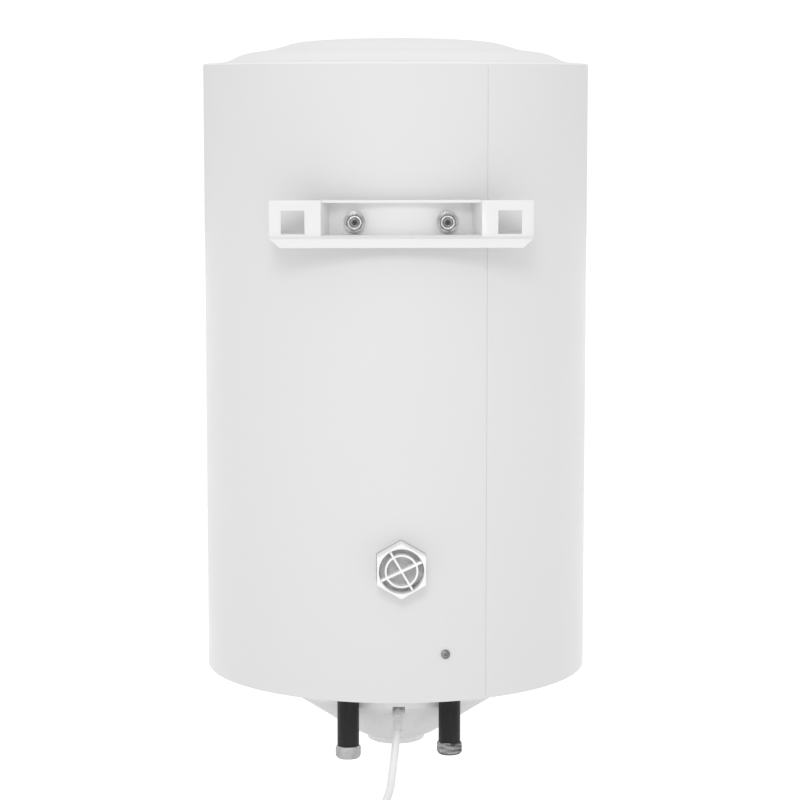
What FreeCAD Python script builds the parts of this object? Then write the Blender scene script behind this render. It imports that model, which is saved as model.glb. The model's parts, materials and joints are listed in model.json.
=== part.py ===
import FreeCAD, Part
import math
import os

# Wall-hung vertical electric storage water heater, 50 litre class.
# Millimetres, +Z up. The wall side faces -Y: the wall is the plane y = 0, and the
# origin is the middle of the bracket's lower lip, where the lip bears on the wall.

V = FreeCAD.Vector
X, Y, Z = V(1, 0, 0), V(0, 1, 0), V(0, 0, 1)

# ---------------------------------------------------------------- driving dimensions
CASING_R = 192.5          # painted casing, 385 mm across
CASING_SHEET = 0.8
CASING_TOP = 168.0        # casing's upper edge
CASING_BOTTOM = -438.5    # casing's lower rim
STANDOFF = 20.0           # wall to the nearest line of the casing
AXIS_Y = STANDOFF + CASING_R
CROWN = 27.0              # dome height above the casing's edge

TANK_R = 172.5
TANK_WALL = 1.8
TANK_BOTTOM = -399.0
TANK_TOP = 150.0
HEAD = 55.0               # depth of the tank's dished heads
HEAD_KNUCKLE = 35.0       # radius of the heads' outer bend
BELOW_TANK = -430.0       # cuts through the lower head start here
ABOVE_HEAD = -340.0       # and end here

BRACKET_HALF = 123.0
BRACKET_TOP = 42.0
BRACKET_SHEET = 2.5
LIP_LAND = 2.0            # the lip's bearing land runs from -2 to +2 in Z
LIP_CHEST = 6.2           # the lip leans back a little from the land up to here
LIP_SHELF = 9.6           # top of the lip's shelf, just under the bolts
END_RETURN = 7.0          # depth of the short fold at each outer end
WINDOW = 22.0             # square hook windows
WINDOW_X = 101.0
WINDOW_Z = 21.5
BOLT_X = 43.5
BOLT_Z = 21.0

SPACER_Z = -307.0
SPACER_FLATS = 46.2       # hexagonal leg, corner down
SPACER_BORE_R = 21.35

PIPE_X = 50.0
PIPE_BACK = 117.0         # pipes' distance behind the casing's axis
PIPE_Y = AXIS_Y - PIPE_BACK
PIPE_R = 9.0
SLEEVE_R = 10.75
SOCKET_BORE_R = 9.316     # G 1/2 female thread, minor diameter 18.631
SOCKET_LENGTH = 12.0
SOCKET_FLATS = 21.8
SOCKET_CORNER_R = 12.8
COLD_END = -511.0         # lower face of each water connection
HOT_END = -507.5

COVER_RECESS = 4.0        # bottom cover sits this far above the rim
POD_R = 112.0
POD_WALL = 2.4
POD_SKIRT = -464.0        # lower edge of the pod's upright skirt
POD_BOTTOM = -511.5
POD_BASE_R = 40.0
KNOB_R = 29.5
KNOB_TOP = -513.2
KNOB_BOTTOM = -521.7

CORD_R = 3.9              # mains lead, 7.8 mm across
COIL_TURN_R = 40.0        # middle of the put-away coil's turns
COIL_TURNS = 4
COIL_X = -8.0
COIL_Y = 112.0            # first turn: the turns lie behind the lines of the two water pipes
COIL_Z = -632.0
COIL_LEFT = COIL_X - COIL_TURN_R
PITCH = 2 * CORD_R
TAIL_Y = COIL_Y + COIL_TURNS * PITCH

os.makedirs("parts", exist_ok=True)
nodes = {}


# ---------------------------------------------------------------- helpers
def at(x, y, z):
    """A point given from the casing's axis: y counts from the axis, z is absolute."""
    return V(x, AXIS_Y + y, z)


def rod(radius, z0, z1, x=0.0, y=0.0):
    """Upright cylinder, x and y from the casing's axis."""
    return Part.makeCylinder(radius, z1 - z0, at(x, y, z0), Z)


def tube(outer, inner, z0, z1, x=0.0, y=0.0):
    return rod(outer, z0, z1, x, y).cut(rod(inner, z0, z1, x, y))


def along_y(radius, y0, y1, x, z):
    """Cylinder from y0 to y1, absolute."""
    return Part.makeCylinder(radius, y1 - y0, V(x, y0, z), Y)


def box(x0, x1, y0, y1, z0, z1):
    return Part.makeBox(x1 - x0, y1 - y0, z1 - z0, V(x0, y0, z0))


def prism(points, direction):
    """Closed polygon pushed along a direction."""
    return Part.Face(Part.makePolygon(points + points[:1])).extrude(direction)


def hexagon(flats, y0, y1, x, z, corner_deg=90.0):
    """Hexagonal bar along Y, one corner at corner_deg from +X in the XZ plane."""
    r = flats / math.sqrt(3)
    turns = [math.radians(corner_deg + 60 * i) for i in range(6)]
    return prism([V(x + r * math.cos(t), y0, z + r * math.sin(t)) for t in turns], V(0, y1 - y0, 0))


def upright_hexagon(flats, z0, z1, x, y):
    """Hexagonal bar along Z, x and y from the casing's axis."""
    r = flats / math.sqrt(3)
    turns = [math.radians(60 * i) for i in range(6)]
    corners = [at(x + r * math.cos(t), y + r * math.sin(t), z0) for t in turns]
    return prism(corners, V(0, 0, z1 - z0))


def lathe(profile):
    """Closed (r, z) outline turned about the casing's axis."""
    points = [at(r, 0, z) for r, z in profile]
    face = Part.Face(Part.makePolygon(points + points[:1]))
    return face.revolve(at(0, 0, 0), Z, 360)


def curved_shell(curve, thickness):
    """Turned shell: a smooth (r, z) curve and its copy moved down by the thickness."""
    upper = Part.BSplineCurve()
    upper.interpolate([at(r, 0, z) for r, z in curve])
    lower = Part.BSplineCurve()
    lower.interpolate([at(r, 0, z - thickness) for r, z in curve])
    ends = [(at(r, 0, z), at(r, 0, z - thickness)) for r, z in (curve[0], curve[-1])]
    sides = [Part.LineSegment(a, b).toShape() for a, b in ends]
    wire = Part.Wire([upper.toShape(), sides[1], lower.toShape(), sides[0]])
    return Part.Face(wire).revolve(at(0, 0, 0), Z, 360)


def head_form(inset, depth, z):
    """Solid inside a dished head: above z if depth is positive, below if negative."""
    radius, high, knuckle = TANK_R - inset, abs(depth) - inset, HEAD_KNUCKLE - inset
    side = 1 if depth > 0 else -1
    flat = radius - knuckle
    crown = (flat ** 2 + high ** 2 - knuckle ** 2) / (2 * (high - knuckle))
    lean = math.asin(flat / (crown - knuckle))

    def on_crown(angle):
        return at(crown * math.sin(angle), 0, z + side * (high - crown + crown * math.cos(angle)))

    def on_knuckle(angle):
        return at(flat + knuckle * math.sin(angle), 0, z + side * knuckle * math.cos(angle))

    centre = at(0, 0, z)
    half_way = (lean + math.pi / 2) / 2
    edges = [Part.Arc(on_crown(0), on_crown(lean / 2), on_crown(lean)).toShape(),
             Part.Arc(on_crown(lean), on_knuckle(half_way), on_knuckle(math.pi / 2)).toShape(),
             Part.LineSegment(on_knuckle(math.pi / 2), centre).toShape(),
             Part.LineSegment(centre, on_crown(0)).toShape()]
    return Part.Face(Part.Wire(edges)).revolve(centre, Z, 360)


def swept(points, radius, label=None):
    """Round tube along straight runs joined by tangent arcs, as large as the runs allow."""
    edges = []
    radii = []
    start = points[0]
    for a, b, c in zip(points, points[1:], points[2:]):
        back, ahead = (a - b), (c - b)
        run = min(back.Length, ahead.Length)
        back.normalize()
        ahead.normalize()
        half_turn = (math.pi - back.getAngle(ahead)) / 2
        reach = 0.45 * run
        radii.append(reach / math.tan(half_turn))
        first, last = b + back * reach, b + ahead * reach
        inward = back + ahead
        inward.normalize()
        middle = b + inward * (radii[-1] / math.cos(half_turn) - radii[-1])
        edges.append(Part.LineSegment(start, first).toShape())
        edges.append(Part.Arc(first, middle, last).toShape())
        start = last
    edges.append(Part.LineSegment(start, points[-1]).toShape())
    path = Part.Wire(edges)
    heading = points[1] - points[0]
    section = Part.Wire(Part.makeCircle(radius, points[0], heading))
    solid = path.makePipeShell([section], True, False)
    if label:
        exact = math.pi * radius ** 2 * path.Length
        print(label, "length %.1f" % path.Length, "volume ratio %.4f" % (solid.Volume / exact),
              "radii", ["%.0f" % r for r in radii])
    return solid


def fuse(*shapes):
    return shapes[0].fuse(list(shapes[1:])).removeSplitter()


def group(*shapes):
    """Several separate solids of one kind in one node."""
    return Part.makeCompound(list(shapes))


def rear_depth(x):
    """Where the casing's outer face is, in absolute Y, at a sideways distance x."""
    return AXIS_Y - math.sqrt(CASING_R ** 2 - x ** 2)


# ---------------------------------------------------------------- casing and covers
INNER_R = CASING_R - CASING_SHEET
SEAM_DEG = -64.8          # lock seam, 25 degrees round from the rear centre line
SCREW_DEGREES = (-77.2, 42.8, 162.8)
SCREW_Z = -392.0
GAUGE_Z = -300.0          # dial thermometer on the front
GAUGE_HOLE_R = 27.0


def spun(shape, degrees):
    return shape.rotated(at(0, 0, 0), Z, degrees)


def outer_casing():
    shell = tube(CASING_R, INNER_R, CASING_BOTTOM, CASING_TOP)
    hem = tube(INNER_R, CASING_R - 6, CASING_BOTTOM, CASING_BOTTOM + CASING_SHEET)
    seam_fold = box(INNER_R - 1.2, INNER_R + 0.2, AXIS_Y - 5, AXIS_Y + 5,
                    CASING_BOTTOM + 60, CASING_TOP - 14)
    shell = fuse(shell, hem, spun(seam_fold, SEAM_DEG))
    groove = box(CASING_R - 0.4, CASING_R + 1, AXIS_Y - 0.6, AXIS_Y + 0.6,
                 CASING_BOTTOM + 3, CASING_TOP - 3)
    shell = shell.cut(spun(groove, SEAM_DEG))
    for x in (-BOLT_X, BOLT_X):
        shell = shell.cut(along_y(5.2, 0, 60, x, BOLT_Z))
    shell = shell.cut(hexagon(SPACER_FLATS + 1.0, 0, 40, 0, SPACER_Z))
    shell = shell.cut(along_y(GAUGE_HOLE_R, AXIS_Y + 100, AXIS_Y + 200, 0, GAUGE_Z))
    for degrees in SCREW_DEGREES:
        hole = Part.makeCylinder(2.0, 20, at(CASING_R - 10, 0, SCREW_Z), X)
        shell = shell.cut(spun(hole, degrees))
    return shell


def top_cover():
    profile = [(0, CROWN), (45, CROWN - 0.6), (80, CROWN - 2.4), (102, CROWN - 5.2),
               (114, CROWN - 8.6), (125, CROWN - 11.6), (141, CROWN - 13.8),
               (156, CROWN - 17.6), (169, CROWN - 23.2), (181, CROWN - 24.8), (190.5, CROWN - 25.4)]
    dome = curved_shell([(r, CASING_TOP + z) for r, z in profile], 1.2)
    edge = lathe([(190.4, CASING_TOP + 1.6), (191.6, CASING_TOP + 1.3), (192.5, CASING_TOP),
                  (INNER_R, CASING_TOP), (INNER_R, CASING_TOP - 12), (INNER_R - 1.2, CASING_TOP - 12),
                  (INNER_R - 1.2, CASING_TOP + 0.2), (190.4, CASING_TOP + 0.4)])
    return fuse(dome, edge)


def bottom_cover():
    plate_z = CASING_BOTTOM + COVER_RECESS
    plate = tube(INNER_R, 92, plate_z, plate_z + 2.5)
    skirt = tube(INNER_R, INNER_R - 1.8, plate_z, SCREW_Z + 10)
    cover = fuse(plate, skirt)
    for x in (-PIPE_X, PIPE_X):
        cover = cover.cut(rod(14.0, plate_z - 5, plate_z + 10, x, -PIPE_BACK))
    for degrees in SCREW_DEGREES:
        hole = Part.makeCylinder(1.6, 20, at(CASING_R - 10, 0, SCREW_Z), X)
        cover = cover.cut(spun(hole, degrees))
    for x, y in COVER_SCREWS:
        cover = cover.cut(rod(1.6, plate_z - 5, plate_z + 10, x, y))
    return cover


COVER_SCREWS = ((-98.0, 0.0), (98.0, 0.0), (0.0, 98.0))
POD_TOP = CASING_BOTTOM + COVER_RECESS
NOTCH_HALF = 6.1
NOTCH_TOP = -462.0
NOTCH_BOTTOM = -474.0
BOSS_TOP_BACK = 109.0     # boss face's distance behind the axis at its upper edge
BOSS_BOTTOM_BACK = 91.0
BOSS_BOTTOM = -491.0
BOSS_WIDE = 31.0          # half width at its top
BOSS_NARROW = 20.0
BOSS_ROUND = 9.0


def pod_outline(inset):
    """Half section of the pod's outer form, moved in by the inset."""
    return [(0, POD_TOP), (POD_R - inset, POD_TOP), (POD_R - inset, POD_SKIRT + inset * 0.75),
            (POD_R - 4 - inset, POD_SKIRT - 3.4 + inset * 0.8), (80 - inset * 0.5, -485.8 + inset),
            (60 - inset * 0.5, -499.4 + inset), (POD_BASE_R - inset * 0.5, POD_BOTTOM + inset),
            (0, POD_BOTTOM + inset)]


def boss_form(inset):
    """Wedge that carries the cable outlet at the back of the pod."""
    top, low = POD_TOP - 10, BOSS_BOTTOM + inset
    back_top, back_low = -BOSS_TOP_BACK + inset, -BOSS_BOTTOM_BACK + inset
    front = -40.0
    wide, narrow = BOSS_WIDE - inset, BOSS_NARROW - inset
    loft = [[at(-wide, back_top, top), at(wide, back_top, top), at(wide, front, top),
             at(-wide, front, top)],
            [at(-narrow, back_low, low), at(narrow, back_low, low), at(narrow, front, low),
             at(-narrow, front, low)]]
    wires = [Part.makePolygon(corners + corners[:1]) for corners in loft]
    form = Part.makeLoft(wires, True, True)
    back = AXIS_Y - BOSS_BOTTOM_BACK
    rounded = [edge for edge in form.Edges
               if max(v.Y for v in edge.Vertexes) < back + inset + 1
               and min(v.Z for v in edge.Vertexes) < low + 1]
    return form.makeFillet(BOSS_ROUND - inset, rounded)


def electrical_cover():
    outer = lathe(pod_outline(0)).fuse(boss_form(0)).removeSplitter()
    inner = lathe([(r, z + (1 if z == POD_TOP else 0)) for r, z in pod_outline(POD_WALL)])
    inner = inner.fuse(boss_form(POD_WALL))
    pod = outer.cut(inner)
    flange = tube(POD_R, 100, POD_TOP - 2.4, POD_TOP)
    pod = fuse(pod, flange)
    for x, y in COVER_SCREWS:
        post = rod(6.5, POD_SKIRT - 6, POD_TOP, x, y).common(lathe(pod_outline(0)))
        pod = fuse(pod, post)
    for x, y in COVER_SCREWS:
        pod = pod.cut(rod(4.6, POD_BOTTOM, POD_TOP - 6, x, y))
        pod = pod.cut(rod(2.0, POD_BOTTOM, POD_TOP + 1, x, y))
    pod = pod.cut(rod(7.0, POD_BOTTOM - 5, POD_BOTTOM + 10))
    pod = pod.cut(box(-NOTCH_HALF, NOTCH_HALF, AXIS_Y - 125, AXIS_Y - 85, NOTCH_BOTTOM, NOTCH_TOP))
    pod = pod.cut(Part.makeCylinder(3.5, 40, at(0, 60, LAMP_Z), Y))
    return pod


LAMP_Z = -473.0

# ---------------------------------------------------------------- tank
HEAD_TOP_Z = TANK_TOP - HEAD
HEAD_LOW_Z = TANK_BOTTOM + HEAD
NECK_R = 38.0             # opening in the lower head
FLANGE_R = 62.0
FLANGE_RING_Z = -407.0
GASKET = 3.0
PLATE = 4.0
PLATE_TOP = FLANGE_RING_Z - GASKET
PLATE_BOTTOM = PLATE_TOP - PLATE
FLANGE_PCD_R = 50.0
FLANGE_BOLTS = 5
POCKET_R = 5.0
ELEMENT_R = 4.25
ELEMENT_X, ELEMENT_BACK = 22.0, -12.0
ANODE_Y = 23.0


def tank_head(top):
    z, depth = (HEAD_TOP_Z, HEAD) if top else (HEAD_LOW_Z, -HEAD)
    return head_form(0, depth, z).cut(head_form(TANK_WALL, depth, z))


def tank_bottom_head():
    head = tank_head(False).cut(rod(NECK_R, BELOW_TANK, ABOVE_HEAD))
    for x in (-PIPE_X, PIPE_X):
        head = head.cut(rod(PIPE_R, BELOW_TANK, ABOVE_HEAD, x, -PIPE_BACK))
    return head


def flange_places():
    turns = [math.radians(90 + 360 * i / FLANGE_BOLTS) for i in range(FLANGE_BOLTS)]
    return [(FLANGE_PCD_R * math.cos(t), FLANGE_PCD_R * math.sin(t)) for t in turns]


def with_bolt_holes(shape):
    for x, y in flange_places():
        shape = shape.cut(rod(4.0, BELOW_TANK, FLANGE_RING_Z + 7, x, y))
    return shape


def flange_ring():
    ring = tube(FLANGE_R, NECK_R, FLANGE_RING_Z, -385)
    return with_bolt_holes(ring.cut(head_form(0, -HEAD, HEAD_LOW_Z)))


def flange_gasket():
    return with_bolt_holes(tube(FLANGE_R, NECK_R - 2, PLATE_TOP, FLANGE_RING_Z))


def flange_plate():
    plate = with_bolt_holes(rod(FLANGE_R, PLATE_BOTTOM, PLATE_TOP))
    plate = plate.cut(rod(POCKET_R, PLATE_BOTTOM - 1, PLATE_TOP + 1))
    plate = plate.cut(rod(2.5, PLATE_BOTTOM - 1, PLATE_TOP + 1, 0, ANODE_Y))
    for x in (-ELEMENT_X, ELEMENT_X):
        plate = plate.cut(rod(ELEMENT_R, PLATE_BOTTOM - 1, PLATE_TOP + 1, x, ELEMENT_BACK))
    return plate


def flange_bolts():
    bolts = []
    for x, y in flange_places():
        head = upright_hexagon(13, PLATE_BOTTOM - 5.3, PLATE_BOTTOM, x, y)
        bolts.append(fuse(head, rod(4.0, PLATE_BOTTOM - 0.5, FLANGE_RING_Z + 6.5, x, y)))
    return group(*bolts)


def heating_element():
    low, bend = PLATE_BOTTOM - 8, -170.0
    legs = [rod(ELEMENT_R, low, bend, x, ELEMENT_BACK) for x in (-ELEMENT_X, ELEMENT_X)]
    circle = Part.Face(Part.Wire(Part.makeCircle(ELEMENT_R, at(ELEMENT_X, ELEMENT_BACK, bend), Z)))
    arch = circle.revolve(at(0, ELEMENT_BACK, bend), V(0, -1, 0), 180)
    return fuse(arch, *legs)


def element_insulators():
    low = PLATE_BOTTOM - 8
    return group(*[rod(3.2, low - 4, low, x, ELEMENT_BACK) for x in (-ELEMENT_X, ELEMENT_X)])


def element_terminals():
    low = PLATE_BOTTOM - 12
    return group(*[box(x - 3, x + 3, AXIS_Y + ELEMENT_BACK - 0.4, AXIS_Y + ELEMENT_BACK + 0.4,
                       low - 9, low) for x in (-ELEMENT_X, ELEMENT_X)])


def anode_rod():
    stud = rod(2.5, PLATE_BOTTOM - 9, PLATE_TOP + 1, 0, ANODE_Y)
    return fuse(rod(11, PLATE_TOP, PLATE_TOP + 230, 0, ANODE_Y), stud)


def anode_nut():
    nut = upright_hexagon(8, PLATE_BOTTOM - 4, PLATE_BOTTOM, 0, ANODE_Y)
    return nut.cut(rod(2.5, PLATE_BOTTOM - 5, PLATE_BOTTOM + 1, 0, ANODE_Y))


def thermostat_pocket():
    outside = rod(POCKET_R, PLATE_BOTTOM - 3, -190)
    return outside.cut(rod(POCKET_R - 0.8, PLATE_BOTTOM - 4, -191))


# ---------------------------------------------------------------- thermostat and wiring
THERMO_TOP = PLATE_BOTTOM - 9
THERMO_LOW = THERMO_TOP - 30
SPINDLE_R = 3.0


def thermostat_probe():
    return rod(3.9, THERMO_TOP, -195)


def thermostat_body():
    body = box(-17.5, 17.5, AXIS_Y - 27, AXIS_Y + 15, THERMO_LOW, THERMO_TOP)
    body = fuse(body, rod(9, THERMO_LOW - 4, THERMO_LOW))
    return body.cut(rod(SPINDLE_R + 0.05, THERMO_LOW - 5, THERMO_LOW + 12))


def thermostat_spindle():
    spindle = rod(SPINDLE_R, KNOB_BOTTOM + 3.0, THERMO_LOW + 11.5)
    flat = box(-4, 4, AXIS_Y + 1.8, AXIS_Y + 4, KNOB_BOTTOM, KNOB_TOP + 4)
    return spindle.cut(flat)


def thermostat_knob():
    disc = lathe([(0, KNOB_TOP), (25.5, KNOB_TOP), (28.6, KNOB_TOP - 1.2), (KNOB_R, KNOB_TOP - 3.0),
                  (KNOB_R, KNOB_BOTTOM + 2.6), (KNOB_R - 0.9, KNOB_BOTTOM + 0.9),
                  (KNOB_R - 2.8, KNOB_BOTTOM), (0, KNOB_BOTTOM)])
    grooves = [spun(rod(1.5, KNOB_BOTTOM - 1, KNOB_TOP + 1, KNOB_R + 0.9, 0), 15 * i)
               for i in range(24)]
    knob = disc.cut(grooves)
    hub = rod(6.0, KNOB_TOP, KNOB_TOP + 3.5)
    knob = fuse(knob, hub)
    flat = box(-4, 4, AXIS_Y + 1.8, AXIS_Y + 4, KNOB_BOTTOM, KNOB_TOP + 4)
    bore = rod(SPINDLE_R, KNOB_BOTTOM + 3.0, KNOB_TOP + 4).cut(flat)
    mark = box(-1.0, 1.0, AXIS_Y + 12, AXIS_Y + 27, KNOB_BOTTOM - 1, KNOB_BOTTOM + 0.5)
    return knob.cut(bore).cut(mark)


CUTOUT_X, CUTOUT_Y = -44.0, 14.0
CUTOUT_TOP = PLATE_BOTTOM - 9


def thermal_cutout():
    can = rod(12, CUTOUT_TOP - 14, CUTOUT_TOP, CUTOUT_X, CUTOUT_Y)
    neck = rod(4.5, CUTOUT_TOP - 18, CUTOUT_TOP - 14, CUTOUT_X, CUTOUT_Y)
    return fuse(can, neck).cut(rod(2.3, CUTOUT_TOP - 19, CUTOUT_TOP - 6, CUTOUT_X, CUTOUT_Y))


def cutout_bracket():
    """Folded strip from the flange plate that carries the cut-out and the thermostat."""
    strip = box(-60, 21, AXIS_Y + 4, AXIS_Y + 15, PLATE_BOTTOM - 9, PLATE_BOTTOM - 7)
    strip = strip.cut(rod(POCKET_R, BELOW_TANK - 10, TANK_BOTTOM - 1))
    strip = strip.cut(rod(4.0, BELOW_TANK - 10, TANK_BOTTOM - 1, 0, ANODE_Y))
    leg = box(-60, -57, AXIS_Y + 4, AXIS_Y + 15, PLATE_BOTTOM - 8, PLATE_BOTTOM)
    other = box(14, 17, AXIS_Y + 4, AXIS_Y + 15, PLATE_BOTTOM - 8, PLATE_BOTTOM)
    return fuse(strip, leg, other)


def reset_button():
    return rod(2.0, CUTOUT_TOP - 22, CUTOUT_TOP - 9, CUTOUT_X, CUTOUT_Y)


BLOCK_Y = -78.0
BLOCK_TOP = POD_TOP - 1.0
WAYS = (-11.0, 0.0, 11.0)


def terminal_shelf():
    """Tab of the bottom cover that carries the terminal block."""
    tab = box(-30, 30, AXIS_Y - 95, AXIS_Y - 68, POD_TOP, POD_TOP + 2.5)
    return tab.cut(tube(100, 92, POD_TOP - 1, POD_TOP + 4)).common(rod(92, POD_TOP, POD_TOP + 3))


def terminal_block():
    block = box(-18, 18, AXIS_Y + BLOCK_Y - 8, AXIS_Y + BLOCK_Y + 8, BLOCK_TOP - 17, BLOCK_TOP + 1)
    for x in WAYS:
        block = block.cut(Part.makeCylinder(2.2, 30, at(x, BLOCK_Y - 15, BLOCK_TOP - 8), Y))
        block = block.cut(rod(2.6, BLOCK_TOP - 18, BLOCK_TOP - 11, x, BLOCK_Y))
    return block


def terminal_screws():
    screws = []
    for x in WAYS:
        head = rod(2.55, BLOCK_TOP - 16, BLOCK_TOP - 11, x, BLOCK_Y)
        slot = box(x - 3, x + 3, AXIS_Y + BLOCK_Y - 0.4, AXIS_Y + BLOCK_Y + 0.4,
                   BLOCK_TOP - 17, BLOCK_TOP - 15)
        screws.append(head.cut(slot))
    return group(*screws)


def inner_leads():
    """The three short leads between the mains lead and the terminal block."""
    y, z = CORD_ROUTE[0].y - AXIS_Y, CORD_ROUTE[0].z
    return group(*[swept([at(x * 0.2, y, z), at(x * 0.3, y + 5.5, z + 5.5),
                          at(x, y + 6.5, BLOCK_TOP - 17), at(x, BLOCK_Y - 13, BLOCK_TOP - 8),
                          at(x, BLOCK_Y - 4, BLOCK_TOP - 8)], 1.1)
                   for x in WAYS])


def feed_leads():
    """Leads from the terminal block to the thermostat and to the earth stud."""
    leads = []
    for x in (WAYS[0], WAYS[2]):
        leads.append(swept([at(x, BLOCK_Y + 4, BLOCK_TOP - 8), at(x, -58, BLOCK_TOP - 8),
                            at(x * 1.2, -44, BLOCK_TOP - 16), at(x * 1.2, -27, BLOCK_TOP - 16)], 1.2))
    leads.append(swept([at(0, BLOCK_Y + 4, BLOCK_TOP - 8), at(0, -60, BLOCK_TOP - 8),
                        at(2, -50, BLOCK_TOP - 2), at(EARTH_X, EARTH_Y - 6, PLATE_BOTTOM - 5.5),
                        at(EARTH_X, EARTH_Y - 1, PLATE_BOTTOM - 5.5)], 1.2))
    return group(*leads)


EARTH_X, EARTH_Y = 4.0, -38.0


def earth_nut():
    return upright_hexagon(8, PLATE_BOTTOM - 4, PLATE_BOTTOM, EARTH_X, EARTH_Y)


def indicator_lamp():
    lens = Part.makeCylinder(3.5, 30, at(0, 60, LAMP_Z), Y)
    body = lens.common(lathe(pod_outline(-1.0)))
    return body.cut(lathe(pod_outline(POD_WALL + 6)))


def cover_screws():
    screws = []
    for x, y in COVER_SCREWS:
        head = rod(4.2, POD_TOP - 9, POD_TOP - 6, x, y)
        cross = fuse(box(x - 2.4, x + 2.4, AXIS_Y + y - 0.5, AXIS_Y + y + 0.5, POD_TOP - 10, POD_TOP - 7.8),
                     box(x - 0.5, x + 0.5, AXIS_Y + y - 2.4, AXIS_Y + y + 2.4, POD_TOP - 10, POD_TOP - 7.8))
        screws.append(fuse(head, rod(1.6, POD_TOP - 6.5, POD_TOP + 8, x, y)).cut(cross))
    return group(*screws)


# ---------------------------------------------------------------- foam
def foam_insulation():
    block = rod(INNER_R, SCREW_Z + 11, CASING_TOP - 13)
    block = fuse(block, rod(INNER_R - 1.4, CASING_TOP - 14, CASING_TOP - 1.5))
    block = block.cut(rod(TANK_R, HEAD_LOW_Z, HEAD_TOP_Z))
    block = block.cut(head_form(0, HEAD, HEAD_TOP_Z))
    block = block.cut(head_form(0, -HEAD, HEAD_LOW_Z))
    block = block.cut(rod(FLANGE_R + 6, BELOW_TANK + 10, ABOVE_HEAD - 10).cut(head_form(0, -HEAD, HEAD_LOW_Z)))
    seam = box(INNER_R - 1.3, INNER_R + 2, AXIS_Y - 5.1, AXIS_Y + 5.1, CASING_BOTTOM, CASING_TOP)
    block = block.cut(spun(seam, SEAM_DEG))
    for x in (-PIPE_X, PIPE_X):
        block = block.cut(rod(SLEEVE_R, BELOW_TANK, ABOVE_HEAD + 10, x, -PIPE_BACK))
    for x in (-BOLT_X, BOLT_X):
        block = block.cut(along_y(8.0, 15, 70, x, BOLT_Z))
    block = block.cut(along_y(34.5, 0, 40.5, 0, SPACER_Z))
    block = block.cut(along_y(29.0, AXIS_Y + 165, AXIS_Y + 200, 0, GAUGE_Z))
    for degrees in SCREW_DEGREES:
        hole = Part.makeCylinder(3.0, 30, at(CASING_R - 20, 0, SCREW_Z), X)
        block = block.cut(spun(hole, degrees))
    return block


# ---------------------------------------------------------------- bracket
BLOCK_FACE = 4.0          # front of the bracket's end blocks, behind the wall plane
BLOCK_INNER = 75.0        # inner edge of an end block's face
RECESS_HALF = 68.0


def wall_bracket():
    s = BRACKET_SHEET
    low, high = 6.0, BRACKET_TOP
    casing = rod(CASING_R, low - 30, high + 30)
    seat = rod(CASING_R + s, low, high).cut(casing)
    seat = seat.common(box(-RECESS_HALF - 1, RECESS_HALF + 1, 0, 70, low, high))
    pieces = [seat]
    for side in (-1, 1):
        face = box(BLOCK_INNER, BRACKET_HALF, BLOCK_FACE, BLOCK_FACE + s, low, high)
        foot_y = rear_depth(RECESS_HALF) - s
        slope = prism([V(RECESS_HALF - 1.2, foot_y, low), V(RECESS_HALF + 1.3, foot_y + s, low),
                       V(BLOCK_INNER + s, BLOCK_FACE + s, low), V(BLOCK_INNER, BLOCK_FACE, low)],
                      V(0, 0, high - low))
        end = box(BRACKET_HALF - s, BRACKET_HALF, BLOCK_FACE, BLOCK_FACE + END_RETURN, low, high)
        window = box(WINDOW_X - WINDOW / 2, WINDOW_X + WINDOW / 2, -5, 20,
                     WINDOW_Z - WINDOW / 2, WINDOW_Z + WINDOW / 2)
        block = fuse(face, slope, end).cut(window)
        if side < 0:
            block = block.mirror(V(0, 0, 0), X)
        pieces.append(block)
    top_edge = box(-BLOCK_INNER, BLOCK_INNER, BLOCK_FACE + 4, 62, high - s, high).cut(casing)
    shelf = LIP_SHELF - s
    lip = prism([V(-BRACKET_HALF, 0, -LIP_LAND), V(-BRACKET_HALF, s, -LIP_LAND),
                 V(-BRACKET_HALF, s, LIP_LAND - 0.8), V(-BRACKET_HALF, s + 1.1, LIP_CHEST - 1.4),
                 V(-BRACKET_HALF, 6.0 + s, shelf), V(-BRACKET_HALF, 62, shelf),
                 V(-BRACKET_HALF, 62, LIP_SHELF), V(-BRACKET_HALF, 6.0, LIP_SHELF),
                 V(-BRACKET_HALF, 0.7, LIP_CHEST), V(-BRACKET_HALF, 0, LIP_LAND)],
                V(2 * BRACKET_HALF, 0, 0)).cut(casing)
    for side in (-1, 1):
        corner = prism([V(side * 112, -1, -LIP_LAND - 1), V(side * 130, -1, -LIP_LAND - 1),
                        V(side * 130, -1, 13)], V(0, 16, 0))
        lip = lip.cut(corner)
    bracket = fuse(*pieces, top_edge, lip)
    for x in (-BOLT_X, BOLT_X):
        bracket = bracket.cut(along_y(5.2, 10, 40, x, BOLT_Z))
    return bracket


def bolt_seat(x):
    """Y of the flat that a bolt's flange bears on, clear of the curved seat."""
    return rear_depth(abs(x) - 10.4) - BRACKET_SHEET


def bracket_washers():
    """Thick washers, flat outside and hollowed to the curved seat inside."""
    seat = rod(CASING_R + BRACKET_SHEET, BOLT_Z - 30, BOLT_Z + 30)
    washers = []
    for x in (-BOLT_X, BOLT_X):
        front = bolt_seat(x) - 1.2
        ring = along_y(10.2, front, 40, x, BOLT_Z).cut(along_y(5.3, front - 1, 45, x, BOLT_Z))
        washers.append(ring.cut(seat))
    return group(*washers)


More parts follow.
